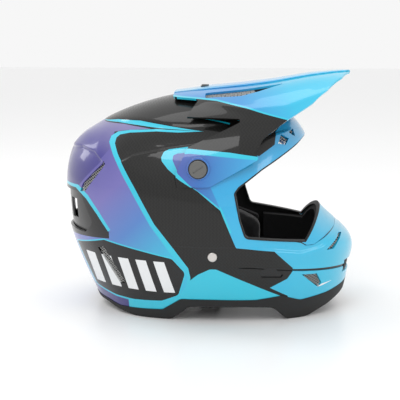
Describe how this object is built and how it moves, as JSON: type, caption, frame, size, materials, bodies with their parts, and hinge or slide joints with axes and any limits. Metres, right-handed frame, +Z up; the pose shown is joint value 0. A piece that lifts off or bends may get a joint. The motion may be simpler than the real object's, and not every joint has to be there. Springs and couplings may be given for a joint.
{
  "type": "motocross helmet",
  "caption": "Full face off-road helmet with a long peak, chin bar, open eyeport, two-part foam liner on dampers, cheek pads and a D-ring chin strap.",
  "frame": {"origin": "under the middle of the outer box, on the surface the helmet stands on", "axes": "+X forward out of the eyeport, +Y to the wearer's left, +Z up; symmetric about the XZ plane apart from the buckle"},
  "size_m": [0.3535, 0.2562, 0.2872],
  "materials": {
    "shell_paint": "gloss clear coat over blue, black and violet graphics",
    "visor_plastic": "gloss moulded plastic",
    "guard_plastic": "gloss moulded plastic",
    "trim_rubber": "satin black",
    "port_plastic": "black, lightly textured",
    "mesh_metal": "woven wire",
    "screw_metal": "dark anodised",
    "insert_brass": "knurled",
    "rivet_metal": "bright dome",
    "liner_foam": "bead foam",
    "damper_rubber": "soft elastomer",
    "pad_fabric": "knitted, quilted",
    "webbing": "woven",
    "ring_steel": "polished wire",
    "snap_plastic": "moulded",
    "tab_webbing": "woven"
  },
  "bodies": {
    "shell": {"outer_shell": "shell_paint", "bottom_trim": "trim_rubber", "nose_guard": "guard_plastic", "eyeport_trim": "trim_rubber", "rear_port": "port_plastic", "mouth_grille": "port_plastic", "brow_vent_screens": "mesh_metal", "chin_upper_screens": "mesh_metal", "chin_side_screens": "mesh_metal", "rear_upper_screens": "mesh_metal", "rear_lower_screens": "mesh_metal", "visor_inserts": "insert_brass", "outer_liner": "liner_foam", "isolation_dampers": "damper_rubber", "chin_foam": "liner_foam", "strap_rivet_left": "rivet_metal", "strap_rivet_right": "rivet_metal", "cheek_foam_left": "liner_foam", "cheek_foam_right": "liner_foam"},
    "visor": {"visor": "visor_plastic", "visor_screens": "mesh_metal"},
    "visor_screw_left": {"visor_screw_left": "screw_metal"},
    "visor_screw_right": {"visor_screw_right": "screw_metal"},
    "visor_top_screw": {"visor_top_screw": "screw_metal"},
    "inner_liner": {"inner_liner": "liner_foam", "comfort_liner": "pad_fabric", "neck_roll": "pad_fabric"},
    "chin_strap": {"chin_strap": "webbing", "strap_tail": "webbing", "strap_pads": "pad_fabric", "strap_snap": "snap_plastic", "d_rings": "ring_steel", "strap_anchor_left": "screw_metal", "strap_anchor_right": "screw_metal"},
    "cheek_pad_left": {"cheek_pad_left": "pad_fabric", "cheek_studs_left": "snap_plastic", "release_tab_left": "tab_webbing"},
    "cheek_pad_right": {"cheek_pad_right": "pad_fabric", "cheek_studs_right": "snap_plastic", "release_tab_right": "tab_webbing"}
  },
  "joints": [
    {"name": "visor_tilt", "type": "hinge", "parent": "shell", "child": "visor", "pos_m": [-0.006, 0, 0.184], "axis": [0, 1, 0], "range_deg": [-3, 3]},
    {"name": "visor_screw_left_turn", "type": "hinge", "parent": "shell", "child": "visor_screw_left", "pos_m": [-0.006, 0.12, 0.184], "axis": [0, 1, 0], "continuous": true},
    {"name": "visor_screw_right_turn", "type": "hinge", "parent": "shell", "child": "visor_screw_right", "pos_m": [-0.006, -0.12, 0.184], "axis": [0, -1, 0], "continuous": true},
    {"name": "visor_top_screw_turn", "type": "hinge", "parent": "shell", "child": "visor_top_screw", "pos_m": [-0.006, 0, 0.26], "axis": [0, 0, 1], "continuous": true},
    {"name": "liner_shift", "type": "hinge", "parent": "shell", "child": "inner_liner", "pos_m": [-0.02, 0, 0.14], "axis": [0, 1, 0], "range_deg": [-1, 1], "stiffness_Nm_per_rad": 60},
    {"name": "strap_swing", "type": "hinge", "parent": "shell", "child": "chin_strap", "pos_m": [0.01, 0, 0.082], "axis": [0, 1, 0], "range_deg": [-18, 18]},
    {"name": "cheek_pad_left_pull", "type": "slide", "parent": "shell", "child": "cheek_pad_left", "axis": [0, -1, 0], "range_m": [0, 0.02]},
    {"name": "cheek_pad_right_pull", "type": "slide", "parent": "shell", "child": "cheek_pad_right", "axis": [0, 1, 0], "range_m": [0, 0.02]}
  ]
}
